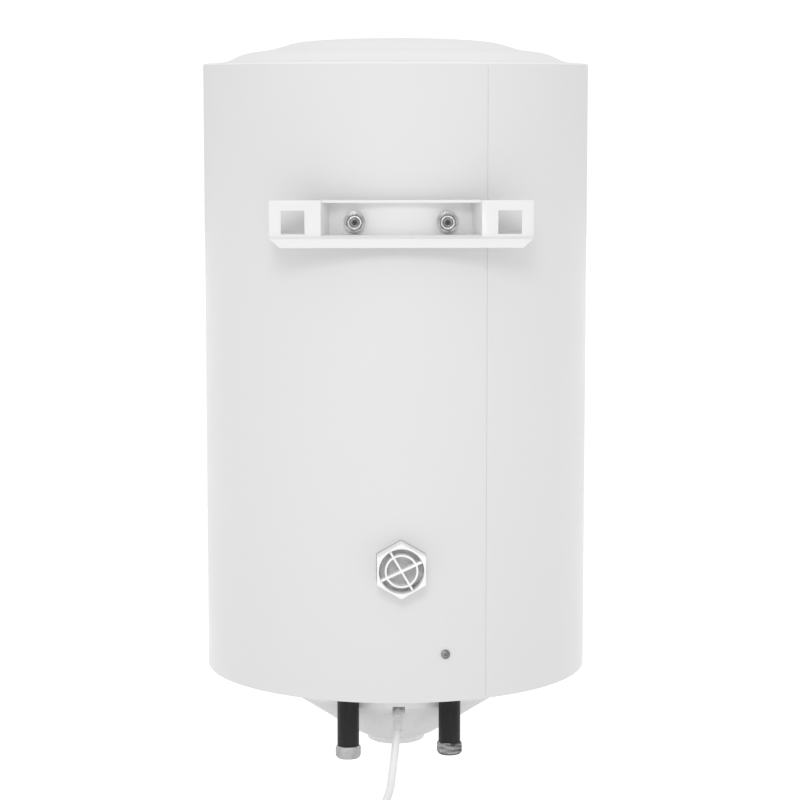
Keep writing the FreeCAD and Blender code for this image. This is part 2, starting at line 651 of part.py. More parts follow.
def bracket_bolts():
    bolts = []
    for x in (-BOLT_X, BOLT_X):
        back = bolt_seat(x) - 1.2
        flange = along_y(9.6, back - 1.6, back, x, BOLT_Z)
        head = hexagon(15, back - 7.6, back - 1, x, BOLT_Z, 75 if x < 0 else 100)
        trim = Part.makeCone(7.0, 12.0, 5.0, V(x, back - 7.6, BOLT_Z), Y)
        trim = fuse(trim, along_y(12.0, back - 2.6, back, x, BOLT_Z))
        dish = Part.makeCone(5.4, 3.6, 2.6, V(x, back - 7.6, BOLT_Z), Y)
        shank = along_y(5.0, back - 1, back + 24, x, BOLT_Z)
        bolts.append(fuse(flange, head.common(trim), shank).cut(dish))
    return group(*bolts)


def tank_anchors():
    """Threaded bosses welded to the tank, one behind each bracket bolt."""
    anchors = []
    for x in (-BOLT_X, BOLT_X):
        boss = along_y(8.0, 15, 60, x, BOLT_Z).cut(along_y(5.0, 10, 48, x, BOLT_Z))
        boss = boss.cut(rod(TANK_R, -100, 100))
        casing = rod(CASING_R + 20, -100, 100).cut(rod(INNER_R, -101, 101))
        anchors.append(boss.cut(casing))
    return group(*anchors)


# ---------------------------------------------------------------- wall spacer
SPACER_REST_END = 34.0    # inner end of the hexagonal leg at rest
SHANK_R = 5.0


def spacer_socket():
    """Plastic socket in the foam: guides the leg and holds the screw's thread."""
    outside = along_y(34.0, 15, 38.6, 0, SPACER_Z)
    outside = outside.cut(tube(CASING_R + 20, INNER_R, SPACER_Z - 90, SPACER_Z + 90))
    guide = hexagon(SPACER_FLATS + 0.3, 0, 36.4, 0, SPACER_Z)
    boss = along_y(9.0, 26.6, 38.6, 0, SPACER_Z)
    bore = along_y(SHANK_R + 0.05, 20, 45, 0, SPACER_Z)
    return fuse(outside.cut(guide), boss).cut(bore)


def spacer_leg():
    leg = hexagon(SPACER_FLATS, 0, SPACER_REST_END, 0, SPACER_Z)
    leg = leg.cut(along_y(SPACER_BORE_R, -1, 20, 0, SPACER_Z))
    leg = leg.cut(along_y(SPACER_BORE_R, 22, 40, 0, SPACER_Z))
    return leg.cut(along_y(SHANK_R + 0.3, 15, 30, 0, SPACER_Z))


def rib(width, degrees, y1):
    bar = box(-30, 30, 0.6, y1, SPACER_Z - width / 2, SPACER_Z + width / 2)
    return bar.rotated(V(0, 0, SPACER_Z), V(0, -1, 0), degrees)


def spacer_screw():
    round_limit = along_y(SPACER_BORE_R - 0.3, 0.6, 19.6, 0, SPACER_Z)
    ring = along_y(15.9, 0.9, 18.2, 0, SPACER_Z).cut(along_y(14.1, 0, 17.8, 0, SPACER_Z))
    ribs = fuse(rib(2.4, 25, 18.2), rib(1.8, -60, 18.2)).common(round_limit)
    base = along_y(SPACER_BORE_R - 0.3, 17.8, 19.6, 0, SPACER_Z)
    shank = along_y(SHANK_R, 17.8, 37.5, 0, SPACER_Z)
    collar = along_y(7.5, 22.4, 24.2, 0, SPACER_Z)
    return fuse(ring, ribs, base, shank, collar)


def casing_screws():
    screws = []
    for degrees in SCREW_DEGREES:
        base = CASING_R + 0.4
        head = Part.makeSphere(8.0, at(base - 5.4, 0, SCREW_Z))
        head = head.common(Part.makeCylinder(4.2, 6, at(base, 0, SCREW_Z), X))
        washer = Part.makeCylinder(4.3, 0.6, at(base - 0.2, 0, SCREW_Z), X)
        shank = Part.makeCylinder(1.6, 12, at(base - 12, 0, SCREW_Z), X)
        slot = box(base + 1.5, base + 4, AXIS_Y - 3.4, AXIS_Y + 3.4, SCREW_Z - 0.5, SCREW_Z + 0.5)
        screws.append(spun(fuse(head, washer, shank).cut(slot), degrees))
    return group(*screws)


# ---------------------------------------------------------------- water connections
SLEEVE_TOP = -395.0


def pipe(x, top, end):
    """Steel pipe from inside the tank down into its connection socket."""
    low = end + SOCKET_LENGTH - 3
    return tube(PIPE_R, PIPE_R - 1.5, low, top, x, -PIPE_BACK)


def cold_inlet_pipe():
    return pipe(-PIPE_X, -352.0, COLD_END)


def hot_outlet_pipe():
    return pipe(PIPE_X, 118.0, HOT_END)


def sleeve(x, end):
    return tube(SLEEVE_R, PIPE_R, end + SOCKET_LENGTH, SLEEVE_TOP, x, -PIPE_BACK)


def socket(x, end, turn):
    """Hexagonal connection with a female G 1/2 thread, open downwards."""
    top = end + SOCKET_LENGTH
    body = upright_hexagon(SOCKET_FLATS, end, top, x, -PIPE_BACK)
    body = body.rotated(at(x, -PIPE_BACK, 0), Z, turn)
    cone = Part.makeCone(10.7, SOCKET_CORNER_R, 2.4, at(x, -PIPE_BACK, end), Z)
    crown = Part.makeCone(SOCKET_CORNER_R, 11.2, 2.0, at(x, -PIPE_BACK, top - 2.0), Z)
    keep = fuse(cone, rod(SOCKET_CORNER_R, end + 2.4, top - 2.0, x, -PIPE_BACK), crown)
    body = body.common(keep)
    body = body.cut(rod(SOCKET_BORE_R, end, end + 8.5, x, -PIPE_BACK))
    body = body.cut(rod(PIPE_R - 1.5, end + 8, top - 2, x, -PIPE_BACK))
    return body.cut(rod(PIPE_R, top - 3, top, x, -PIPE_BACK))


def inlet_diffuser():
    """Plastic cap that spreads the cold water sideways."""
    top = -340.0
    cap = rod(13, -368, top, -PIPE_X, -PIPE_BACK)
    cap = cap.cut(rod(PIPE_R, -369, -351, -PIPE_X, -PIPE_BACK))
    cap = cap.cut(rod(10.5, -352, top - 2, -PIPE_X, -PIPE_BACK))
    for turn in (0, 60, 120):
        slot = box(-20, 20, -2.5, 2.5, -350, -343).rotated(V(0, 0, 0), Z, turn)
        cap = cap.cut(slot.translated(V(-PIPE_X, PIPE_Y, 0)))
    return cap


def pipe_grommets():
    """Rubber grommets that close the bottom cover round the pipes."""
    z = POD_TOP
    rings = []
    for x in (-PIPE_X, PIPE_X):
        ring = fuse(rod(14.0, z, z + 2.5, x, -PIPE_BACK), rod(14.6, z - 1.5, z, x, -PIPE_BACK),
                    rod(16.0, z + 2.5, z + 4.0, x, -PIPE_BACK))
        rings.append(ring.cut(rod(SLEEVE_R, z - 2, z + 5, x, -PIPE_BACK)))
    return group(*rings)


# ---------------------------------------------------------------- thermometer
FRONT = AXIS_Y + CASING_R


def thermometer_can():
    """Housing of the dial thermometer, let into the foam."""
    can = along_y(GAUGE_HOLE_R - 0.2, FRONT - 17, FRONT - 2.4, 0, GAUGE_Z)
    return can.cut(along_y(GAUGE_HOLE_R - 1.6, FRONT - 15.8, FRONT - 2, 0, GAUGE_Z))


def thermometer_bezel():
    rim = along_y(31.0, FRONT - 2.4, FRONT + 3.0, 0, GAUGE_Z)
    rim = rim.cut(Part.makeCone(23.5, 26.5, 1.6, V(0, FRONT + 1.4, GAUGE_Z), Y))
    rim = rim.cut(along_y(24.2, FRONT - 3, FRONT + 0.2, 0, GAUGE_Z))
    rim = rim.cut(along_y(23.5, FRONT - 3, FRONT + 2, 0, GAUGE_Z))
    rim = rim.cut(rod(CASING_R, GAUGE_Z - 40, GAUGE_Z + 40))
    outer_edge = Part.makeCone(31.2, 28.6, 1.6, V(0, FRONT + 1.5, GAUGE_Z), Y)
    keep = fuse(along_y(32, FRONT - 5, FRONT + 1.5, 0, GAUGE_Z), outer_edge)
    return rim.common(keep)


def thermometer_dial():
    return along_y(GAUGE_HOLE_R - 1.7, FRONT - 4.2, FRONT - 3.4, 0, GAUGE_Z).cut(
        along_y(1.0, FRONT - 5, FRONT - 3, 0, GAUGE_Z))


def thermometer_needle():
    blade = prism([V(-1.2, FRONT - 2.4, GAUGE_Z), V(0, FRONT - 2.4, GAUGE_Z + 18),
                   V(1.2, FRONT - 2.4, GAUGE_Z), V(0.9, FRONT - 2.4, GAUGE_Z - 7),
                   V(-0.9, FRONT - 2.4, GAUGE_Z - 7)], V(0, 0.5, 0))
    hub = along_y(2.4, FRONT - 2.9, FRONT - 1.6, 0, GAUGE_Z)
    pin = along_y(0.95, FRONT - 4.6, FRONT - 2.0, 0, GAUGE_Z)
    weight = along_y(2.0, FRONT - 2.4, FRONT - 1.9, 0, GAUGE_Z - 7)
    needle = fuse(blade, hub, pin, weight)
    return needle.rotated(V(0, FRONT, GAUGE_Z), V(0, 1, 0), 120)


def thermometer_lens():
    return along_y(24.2, FRONT - 1.1, FRONT + 0.2, 0, GAUGE_Z)


# ---------------------------------------------------------------- mains lead
CORD_ROUTE = [V(0.0, 113.0, -467.0), V(-1.2, 99.0, -481.5), V(-3.6, 88.5, -500.0),
              V(-6.4, 83.5, -521.5), V(-9.0, 85.2, -544.0), V(-17.8, 92.2, -565.6),
              V(-32.3, 103.6, -581.6), V(-41.9, 109.0, -597.9), V(-47.0, 111.5, -614.7),
              V(COIL_LEFT, COIL_Y, COIL_Z)]
TAIL_ROUTE = [V(COIL_LEFT, TAIL_Y, COIL_Z), V(COIL_LEFT + 0.9, TAIL_Y, -650.0),
              V(COIL_LEFT - 0.3, TAIL_Y + 0.6, -669.0), V(COIL_LEFT, TAIL_Y, -688.0)]
RELIEF_LENGTH = 25.0
BLOCK_IN = 115.5          # inner face of the relief's square seat
SEAT_DEPTH = 5.0          # the seat lies back from the notch's mouth


def strain_relief():
    """Ribbed, tapered bush in the pod's cable notch."""
    start = CORD_ROUTE[0]
    unit = (CORD_ROUTE[1] - start).normalize()
    taper = Part.makeCone(4.9, 4.5, RELIEF_LENGTH, start, unit)
    ribs = [Part.makeCylinder(5.2 - 0.12 * i, 1.7, start + unit * (9.0 + 3.4 * i), unit)
            for i in range(4)]
    seat = box(-NOTCH_HALF + 0.1, NOTCH_HALF - 0.1, BLOCK_IN - SEAT_DEPTH, BLOCK_IN,
               NOTCH_BOTTOM + 0.1, NOTCH_TOP - 0.1)
    bush = fuse(taper, seat, *ribs).cut(Part.makeCylinder(CORD_R, 40, start, unit))
    return bush.cut(Part.makeCylinder(4.6, 12, start + V(0, -1, 0.5), Y))


def cord_coil():
    """Outline of the put-away turns, wound round a horizontal axis."""
    y0 = COIL_Y - CORD_R
    width = (COIL_TURNS + 1) * PITCH
    ring = along_y(COIL_TURN_R + CORD_R, y0, y0 + width, COIL_X, COIL_Z)
    return ring.cut(along_y(COIL_TURN_R - CORD_R, y0 - 1, y0 + width + 1, COIL_X, COIL_Z))


def cord_tie():
    """Band round the coil's turns, at the top."""
    y0 = COIL_Y - CORD_R
    width = (COIL_TURNS + 1) * PITCH
    low, high = COIL_Z + COIL_TURN_R - CORD_R, COIL_Z + COIL_TURN_R + CORD_R
    outer = box(COIL_X - 6, COIL_X + 6, y0 - 1.6, y0 + width + 1.6, low - 1.6, high + 1.6)
    ring_gap = cord_coil()
    return outer.cut(ring_gap).cut(box(COIL_X - 7, COIL_X + 7, y0, y0 + width, low, high))


PLUG_TOP = -682.0


def mains_plug():
    y = TAIL_Y
    neck = Part.makeCone(5.2, 7.5, 16, V(COIL_LEFT, y, PLUG_TOP), V(0, 0, -1))
    body = Part.makeCone(7.5, 18.5, 8, V(COIL_LEFT, y, PLUG_TOP - 16), V(0, 0, -1))
    face = Part.makeCylinder(18.5, 22, V(COIL_LEFT, y, PLUG_TOP - 24), V(0, 0, -1))
    return fuse(neck, body, face).cut(swept(TAIL_ROUTE, CORD_R))


def plug_pins():
    y = TAIL_Y
    pins = []
    for x in (-9.5, 9.5):
        pin = Part.makeCylinder(2.4, 17, V(COIL_LEFT + x, y, PLUG_TOP - 46), V(0, 0, -1))
        tip = Part.makeSphere(2.4, V(COIL_LEFT + x, y, PLUG_TOP - 63))
        pins.append(fuse(pin, tip))
    return group(*pins)


# ---------------------------------------------------------------- build and write
nodes["outer_casing"] = outer_casing()
nodes["top_cover"] = top_cover()
nodes["bottom_cover"] = fuse(bottom_cover(), terminal_shelf())
nodes["electrical_cover"] = electrical_cover()
nodes["foam_insulation"] = foam_insulation()
nodes["tank_shell"] = tube(TANK_R, TANK_R - TANK_WALL, HEAD_LOW_Z, HEAD_TOP_Z)
nodes["tank_top_head"] = tank_head(True)
nodes["tank_bottom_head"] = tank_bottom_head()
nodes["flange_ring"] = flange_ring()
nodes["flange_gasket"] = flange_gasket()
nodes["flange_plate"] = flange_plate()
nodes["flange_bolts"] = flange_bolts()
nodes["heating_element"] = heating_element()
nodes["element_insulators"] = element_insulators()
nodes["element_terminals"] = element_terminals()
nodes["anode_rod"] = anode_rod()
nodes["anode_nut"] = anode_nut()
nodes["thermostat_pocket"] = thermostat_pocket()
nodes["thermostat_probe"] = thermostat_probe()
nodes["thermostat_body"] = thermostat_body()
nodes["thermostat_spindle"] = thermostat_spindle()
nodes["thermostat_knob"] = thermostat_knob()
nodes["control_bracket"] = cutout_bracket()
nodes["thermal_cutout"] = thermal_cutout()
nodes["reset_button"] = reset_button()
nodes["terminal_block"] = terminal_block()
nodes["terminal_screws"] = terminal_screws()
nodes["inner_leads"] = inner_leads()
nodes["feed_leads"] = feed_leads()
nodes["earth_nut"] = earth_nut()
nodes["indicator_lamp"] = indicator_lamp()
nodes["cover_screws"] = cover_screws()
nodes["casing_screws"] = casing_screws()
nodes["wall_bracket"] = wall_bracket()
nodes["bracket_washers"] = bracket_washers()
nodes["bracket_bolts"] = bracket_bolts()
nodes["tank_anchors"] = tank_anchors()
nodes["spacer_socket"] = spacer_socket()
nodes["spacer_leg"] = spacer_leg()
nodes["spacer_screw"] = spacer_screw()
nodes["cold_inlet_pipe"] = cold_inlet_pipe()
nodes["hot_outlet_pipe"] = hot_outlet_pipe()
nodes["cold_sleeve"] = sleeve(-PIPE_X, COLD_END)
nodes["hot_sleeve"] = sleeve(PIPE_X, HOT_END)
nodes["cold_socket"] = socket(-PIPE_X, COLD_END, 8)
nodes["hot_socket"] = socket(PIPE_X, HOT_END, -14)
nodes["inlet_diffuser"] = inlet_diffuser()
nodes["pipe_grommets"] = pipe_grommets()
nodes["thermometer_can"] = thermometer_can()
nodes["thermometer_bezel"] = thermometer_bezel()
nodes["thermometer_dial"] = thermometer_dial()
nodes["thermometer_needle"] = thermometer_needle()
nodes["thermometer_lens"] = thermometer_lens()
nodes["strain_relief"] = strain_relief()
nodes["mains_cord"] = swept(CORD_ROUTE, CORD_R, "mains cord")
nodes["cord_coil"] = cord_coil()
nodes["cord_tie"] = cord_tie()
nodes["cord_tail"] = swept(TAIL_ROUTE, CORD_R, "cord tail")
nodes["mains_plug"] = mains_plug()
nodes["plug_pins"] = plug_pins()

for name, shape in nodes.items():
    solids = len(shape.Solids)
    print("%-20s solids %d valid %s volume %.0f" % (name, solids, shape.isValid(), shape.Volume))
    shape.exportStep(os.path.join("parts", name + ".step"))
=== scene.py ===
import json
import math

import bmesh
import bpy
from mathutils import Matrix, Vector


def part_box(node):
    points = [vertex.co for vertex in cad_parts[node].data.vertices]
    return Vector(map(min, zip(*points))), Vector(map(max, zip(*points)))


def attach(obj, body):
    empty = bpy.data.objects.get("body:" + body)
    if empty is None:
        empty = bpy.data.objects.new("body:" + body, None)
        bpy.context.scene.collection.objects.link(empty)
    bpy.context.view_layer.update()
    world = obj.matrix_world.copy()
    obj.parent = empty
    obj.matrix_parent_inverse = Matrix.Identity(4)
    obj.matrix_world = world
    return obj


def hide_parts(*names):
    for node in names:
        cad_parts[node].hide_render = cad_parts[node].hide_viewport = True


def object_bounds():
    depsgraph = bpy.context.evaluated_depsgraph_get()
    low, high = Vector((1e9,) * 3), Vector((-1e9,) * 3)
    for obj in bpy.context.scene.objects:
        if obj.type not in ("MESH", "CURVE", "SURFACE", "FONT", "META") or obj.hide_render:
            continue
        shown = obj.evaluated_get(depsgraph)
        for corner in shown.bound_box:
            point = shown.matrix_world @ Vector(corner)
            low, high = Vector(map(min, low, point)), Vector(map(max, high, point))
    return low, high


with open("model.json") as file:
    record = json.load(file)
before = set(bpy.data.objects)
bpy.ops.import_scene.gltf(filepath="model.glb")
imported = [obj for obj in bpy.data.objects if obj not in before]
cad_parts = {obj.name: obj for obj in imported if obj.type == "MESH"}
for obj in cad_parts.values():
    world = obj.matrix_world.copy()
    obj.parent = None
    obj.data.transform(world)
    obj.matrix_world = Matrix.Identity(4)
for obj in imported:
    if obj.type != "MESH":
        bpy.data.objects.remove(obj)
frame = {"nodes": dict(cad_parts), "record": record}
cad_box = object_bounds()
NODES = frame["nodes"]
MM = 0.001


# ---------------------------------------------------------------- places from the frame
def span(node):
    low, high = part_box(node)
    return Vector(low), Vector(high)


CASING_LOW, CASING_HIGH = span("outer_casing")
AXIS_Y = (CASING_LOW.y + CASING_HIGH.y) / 2      # the casing's upright axis is at x = 0


# ---------------------------------------------------------------- camera
CAMERA_X, CAMERA_BACK, CAMERA_Z = -0.0656, 2.5369, 0.1397
LOOK_DOWN, LOOK_RIGHT = 6.955, 1.58              # degrees
LENS, SENSOR_WIDTH = 112.85, 36.0


def add_camera():
    """Behind the heater, a little to its left and just below its top edge, aimed slightly down."""
    camera_data = bpy.data.cameras.new("camera")
    camera_data.lens = LENS
    camera_data.sensor_width = SENSOR_WIDTH
    camera = bpy.data.objects.new("camera", camera_data)
    camera.location = (CAMERA_X, AXIS_Y - CAMERA_BACK, CAMERA_Z)
    camera.rotation_euler = (math.radians(90 - LOOK_DOWN), 0.0, math.radians(-LOOK_RIGHT))
    bpy.context.scene.collection.objects.link(camera)
    bpy.context.scene.camera = camera


# ---------------------------------------------------------------- materials
class Recipe:
    """A node material: a Principled shader with procedural colour, roughness and relief."""

    def __init__(self, name, rough=0.5, metal=0.0, coat=0.0, ior=1.5, specular=0.5):
        self.material = bpy.data.materials.new(name)
        self.material.use_nodes = True
        self.tree = self.material.node_tree
        self.shader = self.tree.nodes["Principled BSDF"]
        self.place = self.tree.nodes.new("ShaderNodeTexCoord").outputs["Object"]
        self.set("Roughness", rough)
        self.set("Metallic", metal)
        self.set("IOR", ior)
        self.set("Coat Weight", coat)
        self.set("Specular IOR Level", specular)
        self.normal = None

    def set(self, socket, value):
        self.shader.inputs[socket].default_value = value

    def link(self, a, b):
        self.tree.links.new(a, b)

    def stretched(self, scale):
        mapping = self.tree.nodes.new("ShaderNodeMapping")
        mapping.inputs["Scale"].default_value = scale
        self.link(self.place, mapping.inputs["Vector"])
        return mapping.outputs["Vector"]

    def noise(self, scale, detail=3.0, stretch=(1, 1, 1)):
        node = self.tree.nodes.new("ShaderNodeTexNoise")
        node.inputs["Scale"].default_value = scale
        node.inputs["Detail"].default_value = detail
        self.link(self.stretched(stretch), node.inputs["Vector"])
        return node.outputs["Fac"]

    def bands(self, scale, distortion):
        """Level bands, one above the other."""
        node = self.tree.nodes.new("ShaderNodeTexWave")
        node.wave_type = "BANDS"
        node.bands_direction = "Z"
        node.inputs["Scale"].default_value = scale
        node.inputs["Distortion"].default_value = distortion
        self.link(self.place, node.inputs["Vector"])
        return node.outputs["Fac"]

    def ramp(self, factor, low, high, start=0.3, end=0.7):
        node = self.tree.nodes.new("ShaderNodeValToRGB")
        node.color_ramp.elements[0].position = start
        node.color_ramp.elements[1].position = end
        node.color_ramp.elements[0].color = (*low, 1.0)
        node.color_ramp.elements[1].color = (*high, 1.0)
        self.link(factor, node.inputs["Fac"])
        return node.outputs["Color"]

    def colour(self, factor, low, high, start=0.3, end=0.7):
        self.link(self.ramp(factor, low, high, start, end), self.shader.inputs["Base Color"])
        return self

    def roughness(self, factor, low, high, start=0.3, end=0.7):
        value = self.ramp(factor, (low,) * 3, (high,) * 3, start, end)
        self.link(value, self.shader.inputs["Roughness"])
        return self

    def relief(self, factor, distance, strength=1.0):
        """Adds one more layer of bump, distance in metres."""
        node = self.tree.nodes.new("ShaderNodeBump")
        node.inputs["Distance"].default_value = distance
        node.inputs["Strength"].default_value = strength
        self.link(factor, node.inputs["Height"])
        if self.normal is not None:
            self.link(self.normal, node.inputs["Normal"])
        self.normal = node.outputs["Normal"]
        self.link(self.normal, self.shader.inputs["Normal"])
        return self


def grey(value, warm=0.0):
    return (value * (1 + warm), value, value * (1 - warm))


def paint(name, tone, rough, peel):
    """Stove enamel on sheet steel: even colour, soft gloss, slight orange peel."""
    m = Recipe(name, rough=rough, coat=0.15)
    m.set("Coat Roughness", 0.12)
    m.colour(m.noise(2.2, 4.0), grey(tone * 0.985, 0.002), grey(tone * 1.01))
    m.roughness(m.noise(9.0, 4.0), rough - 0.05, rough + 0.06)
    m.relief(m.noise(260.0, 2.0), peel)
    m.relief(m.noise(5.0, 1.0), 0.0006, 0.35)
    return m.material


def plastic(name, tone, rough, grain=0.00003):
    """Injection-moulded plastic: faint mottling and a fine spark-eroded grain."""
    m = Recipe(name, rough=rough)
    m.colour(m.noise(24.0, 3.0), grey(tone * 0.97), grey(tone * 1.02))
    m.roughness(m.noise(60.0, 3.0), rough - 0.06, rough + 0.08)
    m.relief(m.noise(900.0, 2.0), grain)
    m.relief(m.noise(40.0, 2.0), grain * 3, 0.5)
    return m.material


def tinted(name, low, high, rough, grain=0.00003):
    """Any even colour that varies a little between low and high, with a fine grain."""
    m = Recipe(name, rough=rough)
    m.colour(m.noise(40.0, 3.0), low, high)
    m.roughness(m.noise(80.0, 3.0), rough - 0.05, rough + 0.08)
    m.relief(m.noise(700.0, 2.0), grain)
    return m.material


def brushed(name, low, high, rough, stretch=(1, 1, 30), scale=60.0, relief=0.00002):
    """Bare or plated metal with drawing marks along one direction."""
    m = Recipe(name, rough=rough, metal=1.0)
    lines = m.noise(scale, 4.0, stretch)
    m.colour(m.noise(scale * 0.5, 4.0), low, high)
    m.roughness(lines, rough - 0.1, rough + 0.12)
    m.relief(lines, relief)
    m.relief(m.noise(500.0, 2.0), relief * 0.5)
    return m.material


def threaded_metal(name):
    """Turned metal with fine machining rings round it."""
    m = Recipe(name, rough=0.32, metal=1.0)
    m.colour(m.noise(110.0, 4.0, (0.5, 0.5, 4)), grey(0.07), grey(0.5), 0.36, 0.68)
    m.roughness(m.noise(150.0, 4.0), 0.2, 0.5)
    m.relief(m.bands(430.0, 0.6), 0.00012, 0.8)
    m.relief(m.noise(300.0, 4.0), 0.0001)
    return m.material


BOLT_TRIM_R = 11.5 * MM   # where the bolt's painted shade and highlight rings end
BOLT_UNEVEN = 2.2 * MM    # how far the noise moves a ring
BOLT_SHADE_AND_HIGHLIGHT_RINGS = ((0.0, 0.03), (0.3, 0.10), (0.4, 0.35), (0.46, 0.85), (0.6, 0.8), (0.68, 0.16),
              (0.78, 0.5), (0.9, 0.42), (1.0, 0.10))      # share of the radius, grey tone: the dark rings are painted shade, the bright ones a painted highlight


def zinc_bolt_painted_light(name, x, z):
    """Zinc-plated flange bolts at +x and -x, with rings of painted shade in the recess and a
    painted highlight on the rim of the head.
    """
    m = Recipe(name, rough=0.22, metal=1.0)

    def maths(operation, first, *values):
        node = m.tree.nodes.new("ShaderNodeMath")
        node.operation = operation
        m.link(first, node.inputs[0])
        for socket, value in zip(node.inputs[1:], values):
            socket.default_value = value
        return node

    split = m.tree.nodes.new("ShaderNodeSeparateXYZ")
    m.link(m.place, split.inputs[0])
    flat = m.tree.nodes.new("ShaderNodeCombineXYZ")
    across = maths("SUBTRACT", maths("ABSOLUTE", split.outputs["X"]).outputs[0], x)
    m.link(across.outputs[0], flat.inputs["X"])
    m.link(maths("SUBTRACT", split.outputs["Z"], z).outputs[0], flat.inputs["Z"])
    reach = m.tree.nodes.new("ShaderNodeVectorMath")
    reach.operation = "LENGTH"
    m.link(flat.outputs[0], reach.inputs[0])
    uneven = maths("MULTIPLY_ADD", m.noise(260.0, 4.0), BOLT_UNEVEN)
    m.link(reach.outputs["Value"], uneven.inputs[2])
    share = maths("MULTIPLY", uneven.outputs[0], 1 / BOLT_TRIM_R)
    # the ramp paints shade and highlight as rings round each bolt's centre
    ramp = m.tree.nodes.new("ShaderNodeValToRGB")
    ring = ramp.color_ramp
    (_, first), *between, (_, last) = BOLT_SHADE_AND_HIGHLIGHT_RINGS
    ring.elements[0].color = (*grey(first), 1)
    ring.elements[1].color = (*grey(last), 1)
    for position, tone in between:
        ring.elements.new(position).color = (*grey(tone), 1)
    m.link(share.outputs[0], ramp.inputs["Fac"])
    m.link(ramp.outputs["Color"], m.shader.inputs["Base Color"])
    m.roughness(m.noise(300.0, 3.0), 0.14, 0.34)
    m.relief(m.noise(420.0, 3.0), 0.00008)
    return m.material


def milky(name):
    """Cloudy grey fitting, dull and a little uneven."""
    m = Recipe(name, rough=0.5)
    m.colour(m.noise(110.0, 4.0, (1, 1, 0.5)), grey(0.36), grey(0.56), 0.3, 0.7)
    m.roughness(m.noise(90.0, 3.0), 0.38, 0.6)
    m.relief(m.noise(420.0, 3.0), 0.00008)
    return m.material


def black_sleeve(name):
    """Black insulating sleeve: near black, satin, faint draw lines along its length."""
    m = Recipe(name, rough=0.5, specular=0.3)
    m.colour(m.noise(30.0, 3.0, (6, 6, 1)), grey(0.006), grey(0.013))
    m.roughness(m.noise(90.0, 3.0, (5, 5, 1)), 0.42, 0.58)
    m.relief(m.noise(220.0, 3.0, (4, 4, 0.6)), 0.00006)
    return m.material


def foam(name):
    """Poured insulation foam, yellowish and open-pored."""
    m = Recipe(name, rough=0.9, specular=0.2)
    m.colour(m.noise(60.0, 5.0), (0.72, 0.6, 0.33), (0.86, 0.76, 0.5))
    m.relief(m.noise(350.0, 5.0), 0.0006)
    return m.material


def clear(name):
    """Clear plastic lens."""
    m = Recipe(name, rough=0.04, ior=1.49)
    m.set("Transmission Weight", 1.0)
    m.set("Base Color", (0.97, 0.985, 0.98, 1.0))
    m.roughness(m.noise(40.0, 3.0), 0.02, 0.06)
    return m.material


FINISHES = {
    "white_enamel": paint("white_enamel", 0.67, 0.34, 0.00002),
    "white_bracket": paint("white_bracket", 0.73, 0.4, 0.00004),
    "white_plastic": plastic("white_plastic", 0.84, 0.38),
    "foam": foam("foam"),
    "enamelled_steel": tinted("enamelled_steel", (0.012, 0.03, 0.09), (0.02, 0.045, 0.13),
                              0.3, 0.00005),
    "gasket_rubber": tinted("gasket_rubber", grey(0.02), grey(0.035), 0.75, 0.0001),
    "plated_steel": brushed("plated_steel", grey(0.5), grey(0.72), 0.28),
    "copper": brushed("copper", (0.62, 0.27, 0.15), (0.8, 0.42, 0.26), 0.32),
    "brass": brushed("brass", (0.62, 0.45, 0.16), (0.78, 0.6, 0.26), 0.3),
    "ceramic": tinted("ceramic", grey(0.72, 0.02), grey(0.84, 0.02), 0.45),
    "anode_metal": brushed("anode_metal", grey(0.5), grey(0.66), 0.5, (1, 1, 1), 140.0, 0.0001),
    "dark_plastic": plastic("dark_plastic", 0.035, 0.5),
    "red_plastic": tinted("red_plastic", (0.5, 0.012, 0.01), (0.62, 0.02, 0.015), 0.35),
    "lamp_lens": tinted("lamp_lens", (0.62, 0.05, 0.012), (0.75, 0.09, 0.02), 0.18, 0.00002),
    "black_sleeve": black_sleeve("black_sleeve"),
    "cold_socket_finish": milky("cold_socket_finish"),
    "hot_socket_finish": threaded_metal("hot_socket_finish"),
    "pale_plastic": plastic("pale_plastic", 0.72, 0.5),
    "dial_face": tinted("dial_face", grey(0.8), grey(0.86), 0.5),
    "clear_lens": clear("clear_lens"),
    "wire_insulation": tinted("wire_insulation", (0.16, 0.06, 0.02), (0.24, 0.1, 0.04), 0.4),
    "white_cord": plastic("white_cord", 0.84, 0.42, 0.00005),
    "cord_tie": plastic("cord_tie", 0.66, 0.4),
    "pin_metal": brushed("pin_metal", grey(0.6), grey(0.8), 0.16, (1, 1, 12), 90.0),
}
BOLT_LOW, BOLT_HIGH = span("bracket_bolts")
BOLT_WIDTH = BOLT_HIGH.z - BOLT_LOW.z
BOLT_X = (BOLT_HIGH.x - BOLT_LOW.x - BOLT_WIDTH) / 2
OWN_FINISHES = {          # pieces that look unlike the rest of their slot
    # the bolts carry rings of painted shade and painted highlight
    "bracket_bolts": zinc_bolt_painted_light("zinc_bolt_painted_light", BOLT_X, (BOLT_HIGH.z + BOLT_LOW.z) / 2),
    # the dome takes a lighter copy of the casing's white enamel: painted light from above
    "top_cover": paint("white_dome_painted_top_light", 0.80, 0.34, 0.00002),
    "casing_screws": brushed("dull_screw", grey(0.14), grey(0.42), 0.4, (1, 1, 1), 160.0, 0.0001),
}
SLOT_OF = {part["node"]: part["material_slot"] for part in frame["record"]["subparts"]}


def finish_of(node):
    return OWN_FINISHES.get(node, FINISHES[SLOT_OF[node]])


def dress_frame():
    """Every CAD node takes its procedural finish."""
    for name, obj in NODES.items():
        obj.data.materials.clear()
        obj.data.materials.append(finish_of(name))


# ---------------------------------------------------------------- mesh helpers
def body_of(node):
    for body, members in frame["record"]["behaviour"]["bodies"].items():
        if node in members:
            return body
    return "root"


MERGE_DISTANCE = 2e-6     # metres
FLAT_ANGLE = math.radians(0.6)        # faces closer to level than this are joined
CORNER_ANGLE = math.radians(28.0)     # edges sharper than this are rounded
SHARP_ANGLE = math.radians(50.0)      # edges still sharper than this are shaded hard
ROUND_SEGMENTS = 3


